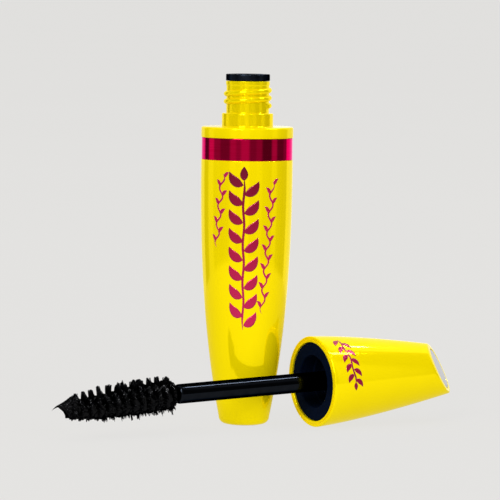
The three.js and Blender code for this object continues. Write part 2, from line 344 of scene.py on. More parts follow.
def yellow_lacquer(name, light, dark):
    """Yellow with faint flow marks, reflections tinted by the colour and a thin coat."""
    g = Graph(bpy.data.materials.new(name))
    g.mottled(g.noise(scale=70, detail=3, roughness=0.55, stretch=(1, 1, 0.35)), dark, light)
    g.rough(g.noise(scale=900, detail=2), 0.06, 0.1)
    g.bump(g.noise(scale=260, detail=2), strength=0.03, distance=0.0003)
    g.set(Specular_IOR_Level=0.02, Specular_Tint=LACQUER_TINT)
    return g.set(Coat_Weight=0.06, Coat_Roughness=0.05)


def body_yellow():
    """The lacquer of the body and cap, with an even share of pearl."""
    return yellow_lacquer("yellow_gloss", YELLOW, (0.94, 0.73, 0.0)).set(Metallic=0.3).owner


def neck_yellow():
    """The moulding's lacquer, whose neck has twice its shoulder's pearl."""
    g = yellow_lacquer("neck_yellow", YELLOW, (0.88, 0.69, 0.0))
    low, high = (SHOULDER_TOP - 0.1) * MM, (SHOULDER_TOP + 0.2) * MM
    return g.set(Metallic=g.range(g.height(), 0.24, 0.47, low, high)).owner


def band_metal():
    """Bright anodised ring, turned, so its scratches run round it."""
    marks = {"scale": 900, "detail": 3, "roughness": 0.6, "stretch": (0.12, 0.12, 4.0)}
    colours = ((0.70, 0.0, 0.05), (0.80, 0.004, 0.075))
    g = surface("raspberry_metal", marks, colours, (0.06, 0.12), relief=0.04, depth=0.00005)
    return g.set(Metallic=1.0, Specular_Tint=BAND_TINT).owner


def foil(name, stops, low, high):
    """Hot-stamped foil whose colour changes between two heights; on the cap that change is a
    painted highlight.
    """
    g = Graph(bpy.data.materials.new(name))
    along = g.range(g.height(), 0.0, 1.0, from_low=low * MM, from_high=high * MM)
    g.set(Base_Color=g.ramp(along, stops))
    grain = g.noise(scale=1800, detail=3, roughness=0.6)
    g.rough(grain, 0.22, 0.34)
    g.bump(grain, strength=0.08, distance=0.00008)
    return g.set(Metallic=0.35, Specular_IOR_Level=0.3).owner


def black(name, sheen, rough, grain=1200, relief=0.1, depth=0.00006):
    """Deep black: only its reflections show, held back at grazing angles so nothing greys it."""
    marks = {"scale": grain, "detail": 3, "roughness": 0.55}
    colours = (sheen, tuple(c * 1.4 for c in sheen))
    g = surface(name, marks, colours, (rough * 0.75, rough * 1.3), relief, depth, until=0.75)
    return g.set(Metallic=1.0, Specular_Tint=GRAZING).owner


def matt_black(name, colour):
    """A dull navy black whose mirror shine is nearly nil."""
    marks = {"scale": 1200, "detail": 3, "roughness": 0.55}
    colours = (colour, tuple(c * 1.5 for c in colour))
    g = surface(name, marks, colours, (0.25, 0.4), relief=0.1, depth=0.00006, until=0.75)
    return g.set(Specular_IOR_Level=0.003).owner


def silver():
    """Satin metal, brushed along one way."""
    marks = {"scale": 900, "detail": 4, "roughness": 0.7, "stretch": (0.1, 2.0, 0.1)}
    colours = ((0.33, 0.33, 0.35), (0.45, 0.45, 0.47))
    g = surface("silver_plate", marks, colours, (0.28, 0.42), relief=0.1, depth=0.00005)
    return g.set(Metallic=0.85).owner


def steel():
    colours = ((0.30, 0.30, 0.31), (0.5, 0.5, 0.5))
    g = surface("wire_steel", {"scale": 2500, "detail": 3}, colours, (0.22, 0.4))
    return g.set(Metallic=1.0).owner


def paper():
    marks = {"scale": 3000, "detail": 5, "roughness": 0.7}
    colours = ((0.74, 0.73, 0.69), (0.86, 0.85, 0.81))
    return surface("label_paper", marks, colours, (0.6, 0.8), relief=0.2, depth=0.00004).owner


def floor_paint():
    """A light table: it glows evenly, and takes only a faint shadow."""
    g = Graph(bpy.data.materials.new("pale_floor"))
    g.mottled(g.noise(scale=3, detail=2), (0.038, 0.0375, 0.037), (0.042, 0.0415, 0.041))
    g.set(Roughness=0.9, Specular_IOR_Level=0.0, Emission_Color=PALE, Emission_Strength=0.965)
    g.owner.cycles.emission_sampling = "NONE"
    return g.owner


RASPBERRY = (0.58, 0.014, 0.095)
CRIMSON = (0.42, 0.005, 0.055)
MAROON = (0.15, 0.002, 0.018)
VINE_TOP = (0.52, 0.012, 0.095)
# The cap's print is painted lighter towards the top of the cap, between two heights: a painted
# highlight, not the print's own colour.
CAP_PRINT_LOW = (0.25, 0.002, 0.03)
CAP_PRINT_PAINTED_HIGHLIGHT = (0.4, 0.006, 0.07)
BODY_PRINT = (22, 60)
CAP_PRINT_HIGHLIGHT_HEIGHTS = (8, 20)

MATERIALS = {
    "yellow": body_yellow(),
    "neck": neck_yellow(),
    "band": band_metal(),
    "body_foil": foil("body_foil", [(0.0, RASPBERRY), (0.45, CRIMSON), (1.0, MAROON)], *BODY_PRINT),
    "vine_foil": foil("vine_foil", [(0.0, RASPBERRY), (1.0, VINE_TOP)], *BODY_PRINT),
    # Cap print with a painted highlight towards its top.
    "cap_foil_painted_highlight": foil("cap_foil_painted_highlight", [(0.0, CAP_PRINT_LOW), (1.0, CAP_PRINT_PAINTED_HIGHLIGHT)], *CAP_PRINT_HIGHLIGHT_HEIGHTS),
    "wiper": black("wiper_black", (0.014, 0.019, 0.028), rough=0.25),
    "inner_cap": matt_black("inner_cap_black", (0.0012, 0.0032, 0.0108)),
    "stem": black("stem_black", (0.008, 0.0095, 0.0125), rough=0.09, grain=500, depth=0.00002),
    "bristle": black("bristle_black", (0.004, 0.004, 0.0045), rough=0.3),
    "paste": black("wet_paste", (0.008, 0.008, 0.0085), 0.12, 2200, relief=0.5, depth=0.0002),
    "silver": silver(),
    "steel": steel(),
    "paper": paper(),
}


# Bottle


def body_radius(z):
    below = max(0.0, TAPER_START - z) / TAPER_START
    return BODY_RADIUS - TAPER_DROP * below**TAPER_POWER


def reservoir_radius(z):
    return body_radius(z) - BODY_WALL - FIT


BAND_LOW, BAND_HIGH = (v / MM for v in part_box("shoulder_band"))
BODY_BASE = (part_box("body_shell")[0] / MM).z
NECK_TOP = (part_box("inner_bottle")[1] / MM).z
WIPER_LOW, WIPER_HIGH = (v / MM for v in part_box("wiper"))

FOOT_MIDDLE = 0.6
SEAT_WALL = 0.6
RIM_CORNER = 0.12
BAND_CORNER = 0.1
SHOULDER_PROUD = 0.05
COLLAR_ROOT = 0.25
COLLAR_CORNER = 0.28
NECK_ROOT = 0.15
LIP_CORNER = 0.1
BORE_BELOW_SHOULDER = 1
THROAT_FLARE = 2
THROAT_BELOW_BAND = 1
WAIST_BELOW_BAND = 3
THREAD_FADE = math.radians(28)
NECK_SLICES = 90


def bottle_skin():
    """The tapered outer shell, with a rounded foot and a seat for the band."""
    corner = BODY_BASE + BASE_CORNER
    foot = body_radius(corner)
    top = BAND_LOW.z - FIT / 2
    floor = BODY_BASE + BODY_FLOOR
    outline = [(0, BODY_BASE), ((foot - BASE_CORNER) * FOOT_MIDDLE, BODY_BASE)]
    outline += lower_corner(foot, BODY_BASE, BASE_CORNER, 10)
    outline += [(body_radius(z), z) for z in steps(corner, top - RIM_CORNER, 60)[1:]]
    outline += upper_corner(BODY_RADIUS, top, RIM_CORNER, 4)[1:]
    outline += [(BAND_SEAT, top), (BAND_SEAT, BAND_HIGH.z), (BAND_SEAT - SEAT_WALL, BAND_HIGH.z)]
    outline += [(body_radius(z) - BODY_WALL, z) for z in steps(top, floor, 24)]
    outline += [(0, floor)]
    shape = skin(rings_of(outline))
    piece("tube_body", shape, "bottle", "yellow", replaces=["body_shell"])


def thread_lift(angle, z):
    """How far the thread stands out of the neck."""
    best = 0.0
    first = ((angle - THREAD_FROM) / TURN) % 1.0
    for turn in range(math.ceil(THREAD_TURNS)):
        run = first + turn
        from_end = min(run, THREAD_TURNS - run) * TURN
        away = abs(z - THREAD_START - THREAD_PITCH * run) / THREAD_HALF_WIDTH
        if from_end <= 0 or away >= 1:
            continue
        fade = math.sqrt(min(1.0, from_end / THREAD_FADE))
        best = max(best, THREAD_HEIGHT * math.sqrt(1 - away**2) * fade)
    return best


def neck_rings():
    low, high = COLLAR_TOP + NECK_ROOT, NECK_TOP - LIP_HEIGHT - NECK_ROOT
    rings = []
    for z in steps(low, high, NECK_SLICES):
        ring = circle(1.0, z)
        for i in range(AROUND):
            ring[i, :2] *= NECK_RADIUS + thread_lift(i * TURN / AROUND, z)
        rings.append(ring)
    return rings


def neck_moulding():
    """Reservoir, shoulder, collar and threaded neck in one piece."""
    edge = BODY_RADIUS + SHOULDER_PROUD
    under = BAND_HIGH.z + FIT / 2
    bottom = BODY_BASE + BODY_FLOOR + FIT
    waist = BAND_LOW.z - WAIST_BELOW_BAND
    floor = bottom + RESERVOIR_FLOOR
    outside = [(0, bottom)]
    outside += [(reservoir_radius(z), z) for z in steps(bottom, waist, 20)]
    outside += [(reservoir_radius(TAPER_START), under)]
    outside += lower_corner(edge, under, RIM_CORNER, 3)
    outside += upper_corner(edge, SHOULDER_TOP, SHOULDER_EDGE, 9)
    outside += root(COLLAR_RADIUS, SHOULDER_TOP, COLLAR_ROOT, 4)
    outside += upper_corner(COLLAR_RADIUS, COLLAR_TOP, COLLAR_CORNER, 5)
    outside += root(NECK_RADIUS, COLLAR_TOP, NECK_ROOT, 3)[:-1]
    lip_low = NECK_TOP - LIP_HEIGHT + LIP_CORNER
    inside = arc(LIP_RADIUS - LIP_CORNER, lip_low, LIP_CORNER, -60, 0, 2)
    inside += upper_corner(LIP_RADIUS, NECK_TOP, LIP_CORNER, 3)
    inside += [(NECK_BORE, NECK_TOP), (NECK_BORE, SHOULDER_TOP - BORE_BELOW_SHOULDER)]
    inside += [(NECK_BORE + THROAT_FLARE, BAND_HIGH.z - THROAT_BELOW_BAND)]
    inside += [(reservoir_radius(z) - RESERVOIR_WALL, z) for z in steps(waist, floor, 18)]
    inside += [(0, floor)]
    shape = skin(rings_of(outside) + neck_rings() + rings_of(inside))
    piece("neck_moulding", shape, "bottle", "neck", replaces=["inner_bottle"])


def band_ring():
    radius = BAND_HIGH.x
    low, high, inner = BAND_LOW.z, BAND_HIGH.z, BAND_SEAT + FIT
    outline = [(inner, low)]
    outline += lower_corner(radius, low, BAND_CORNER, 4)
    outline += [(radius, z) for z in steps(low + BAND_CORNER, high - BAND_CORNER, 8)[1:-1]]
    outline += upper_corner(radius, high, BAND_CORNER, 4)
    outline += [(inner, high)]
    shape = skin(rings_of(outline), closed=True)
    piece("band_ring", shape, "bottle", "band", replaces=["shoulder_band"])


FLANGE_INNER_CORNER = 0.35
FLANGE_OUTER_CORNER = 0.2
FLANGE_LOWER_CORNER = 0.12
ORIFICE_LIP = 0.8
ORIFICE_FLARE = 0.05
FUNNEL_TOP = WIPER_SLEEVE_END + 0.4


def wiper_insert():
    """Soft insert with a flange on the neck, a funnel and a flexible orifice."""
    flange, top, end = WIPER_HIGH.x, WIPER_HIGH.z, WIPER_LOW.z
    low = NECK_TOP + FIT
    inner = WIPER_SLEEVE - WIPER_WALL
    corner = FLANGE_INNER_CORNER
    outline = arc(inner + corner, top - corner, corner, 180, 90, 5)
    outline += upper_corner(flange, top, FLANGE_OUTER_CORNER, 5)[::-1]
    outline += lower_corner(flange, low, FLANGE_LOWER_CORNER, 3)[::-1]
    outline += [(WIPER_SLEEVE, low), (WIPER_SLEEVE, WIPER_SLEEVE_END)]
    outline += [(WIPER_ORIFICE + WIPER_WALL, end), (WIPER_ORIFICE, end)]
    outline += [(WIPER_ORIFICE + ORIFICE_FLARE, end + ORIFICE_LIP), (inner, FUNNEL_TOP)]
    shape = skin(rings_of(outline), closed=True)
    piece("wiper_insert", shape, "bottle", "wiper", replaces=["wiper"])


# Printed ornament: a sprig of leaves between two waving stems

FOIL_ABOVE = 0.035
FOIL_BELOW = -0.03
LEAF_EDGE = 0.02
LEAF_WIDEST_POWER = 0.8
LEAF_FULLNESS_POWER = 0.9
STEM_TAPER_RATE = 10
STEM_POINT_SHARE = 0.15


def ribbon(path, widths, across=6):
    """A grid of (u, v) points along a path, with a width at each of its points."""
    path = np.array(path, float)
    run = np.gradient(path, axis=0)
    run /= np.linalg.norm(run, axis=1)[:, None]
    normal = np.stack([-run[:, 1], run[:, 0]], axis=1)
    offset = np.linspace(-0.5, 0.5, across + 1)
    shift = offset[None, :, None] * np.array(widths)[:, None, None] * normal[:, None, :]
    return path[:, None, :] + shift


def along_and_across(start, end):
    """The two ends as arrays, and the unit ways along and across the line between them."""
    start, end = np.array(start, float), np.array(end, float)
    along = (end - start) / np.linalg.norm(end - start)
    return start, end, along, np.array([-along[1], along[0]])


def leaf(base, tip, bulge, width, count=14):
    """A pointed leaf from its base to its tip, bowed to one side."""
    base, tip = np.array(base, float), np.array(tip, float)
    way = tip - base
    bow = np.array([-way[1], way[0]]) * bulge
    t = np.linspace(0, 1, count)
    path = base + way * t[:, None] + bow * (4 * t * (1 - t))[:, None]
    swell = np.sin(math.pi * t**LEAF_WIDEST_POWER) ** LEAF_FULLNESS_POWER
    return ribbon(path, width * swell + LEAF_EDGE)


def waving_stem(start, end, sway, waves, width, count=160):
    """A waving line whose ends are drawn out fine."""
    start, end, _, across = along_and_across(start, end)
    t = np.linspace(0, 1, count)
    wave = across * (sway * np.sin(TURN * waves * t))[:, None]
    taper = np.minimum(1, STEM_TAPER_RATE * np.minimum(t, 1 - t) + STEM_POINT_SHARE)
    return ribbon(start + (end - start) * t[:, None] + wave, width * taper, across=4)


def stamped(grids, place):
    """Thin closed foil shapes: each grid of (u, v) is laid on the surface by place(u, v, lift)."""
    parts = []
    for grid in grids:
        rows, columns = grid.shape[:2]
        rings = []
        for row in grid:
            top, under = ([place(*at, lift) for at in row] for lift in (FOIL_ABOVE, FOIL_BELOW))
            rings.append(top + under[::-1])
        points, faces = skin(rings)
        size = len(rings[0])
        last = (rows - 1) * size
        for j in range(columns - 1):
            end_face = (j, j + 1, size - 2 - j, size - 1 - j)
            faces += [end_face, tuple(last + k for k in end_face)]
        parts.append((points, faces))
    return joined(parts)


def on_body(u, v, lift):
    radius = body_radius(v) + lift
    angle = u / BODY_RADIUS - math.pi / 2
    return (radius * math.cos(angle), radius * math.sin(angle), v)


# A sprig's proportions: lengths along it are shares of the pitch between its pairs of leaves
SPRIG_TIP_LEAF = 0.75
SPRIG_STEM_SHORT = 0.6
SPRIG_SWAY = 0.15
SPRIG_FIRST_LEAF = 0.25
SPRIG_LEAF_RUN = 0.72
SPRIG_LEAF_ROOT = 0.12
SPRIG_LEAF_BULGE = 0.16
SPRIG_TIP_WIDTH = 0.85


def sprig(start, end, pairs, reach, width, stroke):
    """A straight stem with leaves on both sides in turn, and one more at its tip."""
    start, end, along, across = along_and_across(start, end)
    pitch = np.linalg.norm(end - start) / (pairs + SPRIG_TIP_LEAF)
    stem_end = end - along * pitch * SPRIG_STEM_SHORT
    grids = [waving_stem(start, stem_end, SPRIG_SWAY, pairs / 2, stroke)]
    for i in range(2 * pairs):
        side = 1 if i % 2 else -1
        base = start + along * pitch * (SPRIG_FIRST_LEAF + i / 2) + across * SPRIG_LEAF_ROOT * side
        tip = base + along * pitch * SPRIG_LEAF_RUN + across * reach * side
        grids.append(leaf(base, tip, SPRIG_LEAF_BULGE * side, width))
    tip_base = end - along * pitch * SPRIG_TIP_LEAF
    grids.append(leaf(tip_base, end, 0.0, width * SPRIG_TIP_WIDTH))
    return grids


VINE_SWAY = 0.55
VINE_LEAF_AT = 0.62
VINE_LEAF_SIDEWAYS = 0.75
VINE_LEAF_BULGE = -0.15
VINE_LEAF_WIDTH = 0.8
VINE_STROKE = 0.4


def vine(start, end, waves, reach):
    """A waving stem with a leaf that follows on from each bend."""
    grids = [waving_stem(start, end, VINE_SWAY, waves, VINE_STROKE)]
    start, end, along, across = along_and_across(start, end)
    for i in range(2 * waves):
        side = 1 if i % 2 == 0 else -1
        t = (i + VINE_LEAF_AT) / (2 * waves)
        base = start + (end - start) * t + across * VINE_SWAY * math.sin(TURN * waves * t)
        tip = base + across * reach * side * VINE_LEAF_SIDEWAYS + along * reach
        grids.append(leaf(base, tip, VINE_LEAF_BULGE * side, VINE_LEAF_WIDTH))
    return grids


def body_ornament():
    bold = sprig((-0.6, 22.6), (-0.6, 60.2), pairs=8, reach=3.3, width=2.15, stroke=0.55)
    left = vine((-7.6, 41.6), (-5.7, 58.4), waves=4, reach=1.4)
    right = vine((4.4, 26.4), (6.3, 56.8), waves=7, reach=1.5)
    shape, slot = stamped(bold, on_body), "raspberry_metal"
    piece("sprig_print", shape, "bottle", "body_foil", sharp=0)
    shape = stamped(left + right, on_body)
    piece("vine_print", shape, "bottle", "vine_foil", sharp=0)


# Cap

CAP_RIM_INNER_CORNER = 0.12
CAP_RIM_OUTER_CORNER = 0.3
GROOVE_HALF_WIDTH = 0.17
GROOVE_HALF_FLOOR = 0.08
GROOVE_DEPTH = 0.18
EDGE_WALL_ENDS = 0.8
EDGE_BEND_ON_WALL = 0.55
EDGE_BEND_ON_END = 0.42
POCKET_STEP = 0.05
POCKET_TAPER = 0.02
POCKET_STEP_DEPTH = 0.06


def cap_radius(s):
    return CAP_RADIUS - CAP_DROP * (max(0.0, s) / CAP_DROP_LENGTH) ** CAP_POWER


def end_height(r, angle, depth=0.0):
    """Where the slanted end's plane, moved in by depth, is along the axis."""
    moved_in = depth / math.cos(CAP_END_TILT)
    return CAP_END_AT - moved_in - r * math.tan(CAP_END_TILT) * math.cos(angle)


def meets_end(angle, inset, depth=0.0):
    """(radius, height) where the cap's surface, moved in by inset, meets that plane."""
    low, high = 10.0, 60.0
    for _ in range(40):
        middle = (low + high) / 2
        if middle < end_height(cap_radius(middle) - inset, angle, depth):
            low = middle
        else:
            high = middle
    return cap_radius(low) - inset, low


def bend(a, corner, b, count):
    """Points of a smooth bend from a to b that heads for the corner between them."""
    t = np.linspace(0, 1, count + 1)[:, None]
    a, corner, b = (np.array(p, float) for p in (a, corner, b))
    return [tuple(p) for p in (1 - t) ** 2 * a + 2 * t * (1 - t) * corner + t**2 * b]


def cap_outline(angle):
    """The cap's section at one angle, from the middle of its inside to the middle of its end."""
    inner_r, inner_s = meets_end(angle, CAP_WALL, PLATE_THICKNESS + CAP_END_WALL)
    edge_r, edge_s = meets_end(angle, 0)
    pocket_r, pocket_s = meets_end(angle, PLATE_INSET)
    corner = CAP_RIM_OUTER_CORNER
    inner = [(inner_r, inner_s)]
    inner += [(cap_radius(s) - CAP_WALL, s) for s in steps(inner_s, corner, 12)[1:]]
    lip_in = CAP_RADIUS - CAP_WALL + CAP_RIM_INNER_CORNER
    groove = CAP_RADIUS - CAP_WALL / 2
    rim = arc(lip_in, CAP_RIM_INNER_CORNER, CAP_RIM_INNER_CORNER, 180, 270, 3)
    rim += [(groove - GROOVE_HALF_WIDTH, 0), (groove - GROOVE_HALF_FLOOR, GROOVE_DEPTH)]
    rim += [(groove + GROOVE_HALF_FLOOR, GROOVE_DEPTH), (groove + GROOVE_HALF_WIDTH, 0)]
    rim += lower_corner(CAP_RADIUS, 0, corner, 6)
    wall = [(cap_radius(s), s) for s in steps(corner, edge_s - EDGE_WALL_ENDS, 40)[1:]]
    slope = -math.tan(CAP_END_TILT) * math.cos(angle)
    bend_s = edge_s - EDGE_BEND_ON_WALL
    on_end = (edge_r - EDGE_BEND_ON_END, edge_s - EDGE_BEND_ON_END * slope)
    edge = bend((cap_radius(bend_s), bend_s), (edge_r, edge_s), on_end, 6)
    floor_r = pocket_r - POCKET_TAPER
    pocket = [(pocket_r + POCKET_STEP, pocket_s - POCKET_STEP * slope)]
    pocket += [(floor_r, end_height(floor_r, angle, POCKET_STEP_DEPTH))]
    for share in (1.0, 0.66, 0.33):
        pocket.append((floor_r * share, end_height(floor_r * share, angle, PLATE_THICKNESS)))
    return inner + rim + wall + edge + pocket


def around_axis(outlines):
    """Rings from a section at each angle."""
    count = len(outlines)
    angles = np.arange(count) * TURN / count
    section = np.array(outlines)
    x = section[:, :, 0] * np.cos(angles)[:, None]
    y = section[:, :, 0] * np.sin(angles)[:, None]
    return list(np.stack([x, y, section[:, :, 1]], axis=2).transpose(1, 0, 2))


def between_poles(outline, first_depth, last_depth):
    """A surface through a section at each angle, closed at both ends on the axis."""
    rings = around_axis([outline(i * TURN / AROUND) for i in range(AROUND)])
    first, last = ([(0.0, 0.0, end_height(0, 0, depth))] for depth in (first_depth, last_depth))
    return skin([first, *rings, last])


def cap_skin():
    shape = between_poles(cap_outline, PLATE_THICKNESS + CAP_END_WALL, PLATE_THICKNESS)
    piece("cap_body", shape, "wand", "yellow", WAND, replaces=["cap_shell"])


PLATE_UNDERSIDE = PLATE_THICKNESS - 0.05
PLATE_FACE = 0.02
PLATE_EDGE = ((0.0, 0.14), (0.03, 0.07), (0.12, 0.03))


def plate_outline(angle):
    """The plate's section: its underside, its softened edge as (inset, depth), and its face."""
    r, _ = meets_end(angle, PLATE_INSET + PLATE_GAP)
    section = [(r * share, PLATE_UNDERSIDE) for share in (0.5, 1.0)]
    section += [(r - inset, depth) for inset, depth in PLATE_EDGE]
    section += [(r * share, PLATE_FACE) for share in (0.75, 0.4)]
    return [(q, end_height(q, angle, depth)) for q, depth in section]


def end_plate():
    """An oval plate with a softened edge, let into the slanted end."""
    shape = between_poles(plate_outline, PLATE_UNDERSIDE, PLATE_FACE)
    piece("end_plate", shape, "wand", "silver", WAND, replaces=["cap_end_plate"])


FACE_THICKNESS = 1.1
FACE_GAP_AT = 0.4
FACE_GAP = 0.12
FACE_BACK_GAP = 0.2
ROOF_GAP = 0.25
ROOF_THICKNESS = 1
ENTRY_CORNER = 0.25
FACE_CORNER = 0.15
FACE_DISH = 0.04
FACE_DISH_FROM = 1.1
FACE_DISH_TO = 0.6
BORE_CHAMFER = 0.3
THREAD_ZONE = (INNER_ENTRY_DEPTH + 0.5, 10.5)
FEMALE_THREAD_SHARE = 0.6
SOCKET_GAP = 0.2


def bore_rings():
    """The female thread: the neck's own thread at the depth where it sits, sunk in the bore."""
    lift = THREAD_START - SHOULDER_TOP + THREAD_PITCH / 2
    rings = []
    for z in steps(*THREAD_ZONE, 60):
        ring = circle(1.0, z)
        for i in range(AROUND):
            rise = thread_lift(i * TURN / AROUND, z - lift + THREAD_START)
            ring[i, :2] *= INNER_BORE - FEMALE_THREAD_SHARE * rise
        rings.append(ring)
    return rings


def inner_cap_moulding():
    """The black insert: its face, counterbore, threaded bore and the stem's socket."""
    rim = cap_radius(FACE_GAP_AT) - CAP_WALL - FACE_GAP
    face_top = INNER_FACE + FACE_THICKNESS
    roof_low = INNER_ROOF - ROOF_THICKNESS
    dish = INNER_FACE + FACE_DISH
    entry, corner = INNER_ENTRY_RADIUS, ENTRY_CORNER
    outline = arc(entry + corner, INNER_FACE + corner, corner, 180, 270, 5)
    outline += [(entry + FACE_DISH_FROM, dish), (rim - FACE_DISH_TO, dish)]
    outline += lower_corner(rim, INNER_FACE, FACE_CORNER, 3)
    outline += [(cap_radius(face_top) - CAP_WALL - FACE_BACK_GAP, face_top), (INNER_TUBE, face_top)]
    outline += [(INNER_TUBE, roof_low), (cap_radius(INNER_ROOF) - CAP_WALL - ROOF_GAP, roof_low)]
    outline += [(cap_radius(INNER_ROOF_TOP) - CAP_WALL - ROOF_GAP, INNER_ROOF_TOP)]
    outline += [(SOCKET_RADIUS, INNER_ROOF_TOP), (SOCKET_RADIUS, SOCKET_END), (0, SOCKET_END)]
    mouth = [(entry, INNER_ENTRY_DEPTH), (INNER_BORE, INNER_ENTRY_DEPTH + BORE_CHAMFER)]
    socket, socket_end = STEM_RADIUS + SOCKET_GAP, STEM_ROOT + SOCKET_GAP
    deep = [(INNER_BORE, INNER_ROOF), (socket, INNER_ROOF), (socket, socket_end), (0, socket_end)]
    rings = rings_of(outline)[::-1] + rings_of(mouth) + bore_rings() + rings_of(deep)
    name, slot = "inner_cap_moulding", "inner_cap_plastic"
    piece(name, skin(rings), "wand", "inner_cap", WAND, replaces=["inner_cap"])


def on_cap(u, v, lift):
    radius = cap_radius(v) + lift
    angle = u / cap_radius(v)
    return (radius * math.cos(angle), radius * math.sin(angle), v)


CAP_SPRIG_CENTRE = np.array((math.radians(3) * CAP_RADIUS, 5.3))
CAP_SPRIG_HALF = np.array((7.0, 0.5))


def cap_ornament():
    """A short sprig that runs round the cap near its mouth."""
    start, end = CAP_SPRIG_CENTRE - CAP_SPRIG_HALF, CAP_SPRIG_CENTRE + CAP_SPRIG_HALF
    grids = sprig(start, end, pairs=5, reach=1.75, width=1.15, stroke=0.4)
    shape = stamped(grids, on_cap)
    piece("cap_print", shape, "wand", "cap_foil_painted_highlight", WAND, sharp=0)


# Wand

STEM_CORNER = 0.8
WIRE_HOLE_RADIUS = 0.72
WIRE_HOLE_DEPTH = 6.5
WIRE_HOLE_LIP = 0.1
WIRE_IN_STEM = 6.4
WIRE_ROUNDNESS = 0.97


def stem_rod():
    """The stem, with the hole that holds the wire and a softened end."""
    end = -STEM_LENGTH
    hole_end = end + WIRE_HOLE_DEPTH
    outline = [(0, hole_end), (WIRE_HOLE_RADIUS, hole_end), (WIRE_HOLE_RADIUS, end + WIRE_HOLE_LIP)]
    outline += lower_corner(STEM_RADIUS, end, STEM_CORNER, 10)
    outline += [(STEM_RADIUS, z) for z in steps(end + STEM_CORNER, STEM_ROOT, 24)[1:]]
    outline += [(0, STEM_ROOT)]
    shape = skin(rings_of(outline))
    piece("stem_rod", shape, "wand", "stem", WAND, replaces=["wand_stem"])


def tube(path, radii, sides):
    """A closed tube along a path."""
    path = np.array(path, float)
    run = np.gradient(path, axis=0)
    run /= np.linalg.norm(run, axis=1)[:, None]
    guide = np.array([0.0, 0.0, 1.0]) if abs(run[0][2]) < 0.9 else np.array([1.0, 0.0, 0.0])
    side = np.cross(run, guide)
    side /= np.linalg.norm(side, axis=1)[:, None]
    other = np.cross(run, side)
    angles = np.arange(sides) * TURN / sides
    rings = [[tuple(path[0])]]
    for p, a, b, r in zip(path, side, other, radii, strict=True):
        rings.append(p + r * (np.cos(angles)[:, None] * a + np.sin(angles)[:, None] * b))
    rings.append([tuple(path[-1])])
    return skin(rings)


def twisted_wire():
    start, end = -BRUSH_END, -STEM_LENGTH + WIRE_IN_STEM
    z = steps(start, end, 220)
    parts = []
    for strand_turn in (0, math.pi):
        angle = z * TURN / WIRE_TWIST + strand_turn
        path = np.stack([WIRE_STRAND * np.cos(angle), WIRE_STRAND * np.sin(angle), z], axis=1)
        parts.append(tube(drooped(path), np.full(len(z), WIRE_STRAND * WIRE_ROUNDNESS), 10))
    shape = joined(parts)
    piece("twisted_wire", shape, "wand", "steel", WAND, replaces=["brush_wire"])


BRUSH_TAPER_FROM = BRUSH_FIRST_ROW + 6
BRUSH_TAPER_POWER = 2.2
DROOP = 0.95
DROOP_FROM = STEM_LENGTH + 2
DROOP_LENGTH = 25
DROOP_POWER = 0.9


def brush_radius(along):
    to_tip = max(0.0, (along - BRUSH_TAPER_FROM) / (BRUSH_END - BRUSH_TAPER_FROM))
    drop = BRUSH_RADIUS - BRUSH_TIP_RADIUS
    return BRUSH_RADIUS - drop * min(1.0, to_tip) ** BRUSH_TAPER_POWER


def droop(along):
    """The loaded brush bends down a little towards its tip."""
    return DROOP * max(0.0, (along - DROOP_FROM) / DROOP_LENGTH) ** DROOP_POWER


def drooped(points):
    points = np.array(points, float)
    fall = np.array([droop(-z) for z in points[:, 2]])
    points[:, 0] += DOWN.x * fall
    points[:, 1] += DOWN.y * fall
    return points


DOWN = (WAND.to_3x3().inverted() @ Vector((0, 0, -1))).normalized()
# Where the screw of bristles is uppermost, as a share of a turn
TOP_TURN = (-math.atan2(-DOWN.y, -DOWN.x) / TURN) % 1.0
FIRST_ROW_FROM = -0.7
CLUMPS_PER_ROW = 26
CLUMP_OVERLAP = 0.62
BRISTLES_PER_CLUMP = 9
TOOTH_SPAN = 0.2
TOOTH_SCATTER = 0.22
STRANDS_PER_TOOTH = 4
BRISTLES_PER_STRAND = 20
BRISTLE_FOOT = 0.45
FOOT_SCATTER = 0.15
BRISTLE_THICKNESS = (0.07, 0.12)
BRISTLE_FOOT_SWELL = 1.25
BRISTLE_STEPS = 6
BRUSH_SEED = 11


def bristle(turn, middle, clump, rng):
    """One bristle: its foot at its place on the screw, its tip drawn towards its clump's middle."""
    along = BRUSH_FIRST_ROW + turn * BRUSH_PITCH - BRUSH_PITCH / 2
    length = brush_radius(along) * clump["reach"] * rng.uniform(*clump["lengths"])
    foot = rng.uniform(-FOOT_SCATTER, FOOT_SCATTER)
    tip_turn = turn + (middle - turn) * clump["gather"]
    tip_shift = foot * (1 - clump["gather"]) + clump["lean"] + rng.uniform(-1, 1) * clump["spread"]
    tip_shift += (turn - tip_turn) * BRUSH_PITCH
    t = np.linspace(0, 1, BRISTLE_STEPS)
    angle = -(turn + (tip_turn - turn) * t**clump["curl"]) * TURN
    radius = BRISTLE_FOOT + (length - BRISTLE_FOOT) * t
    shift = foot + (tip_shift - foot) * t**2
    path = np.stack([radius * np.cos(angle), radius * np.sin(angle), -along + shift], axis=1)
    thick = rng.uniform(*BRISTLE_THICKNESS)
    return tube(drooped(path), thick * (BRISTLE_FOOT_SWELL - clump["taper"] * t), 4)


# How bristles gather in a tooth's strand and in the fringe: the drawn values differ by clump
STRAND = {
    "drawn": {"reach": (0.88, 1.08), "lean": (-0.22, 0.22), "gather": (0.7, 0.9)},
    "lengths": (0.84, 1.03),
    "spread": 0.13,
    "curl": 0.8,
    "taper": 0.35,
}
FRINGE = {
    "drawn": {"reach": (0.88, 1.05), "lean": (-0.1, 0.1), "gather": (0.3, 0.8)},
    "lengths": (0.84, 1.04),
    "spread": 0.12,
    "curl": 1.5,
    "taper": 0.55,
}


def clump_of(kind, rng):
    return kind | {key: rng.uniform(*limits) for key, limits in kind["drawn"].items()}


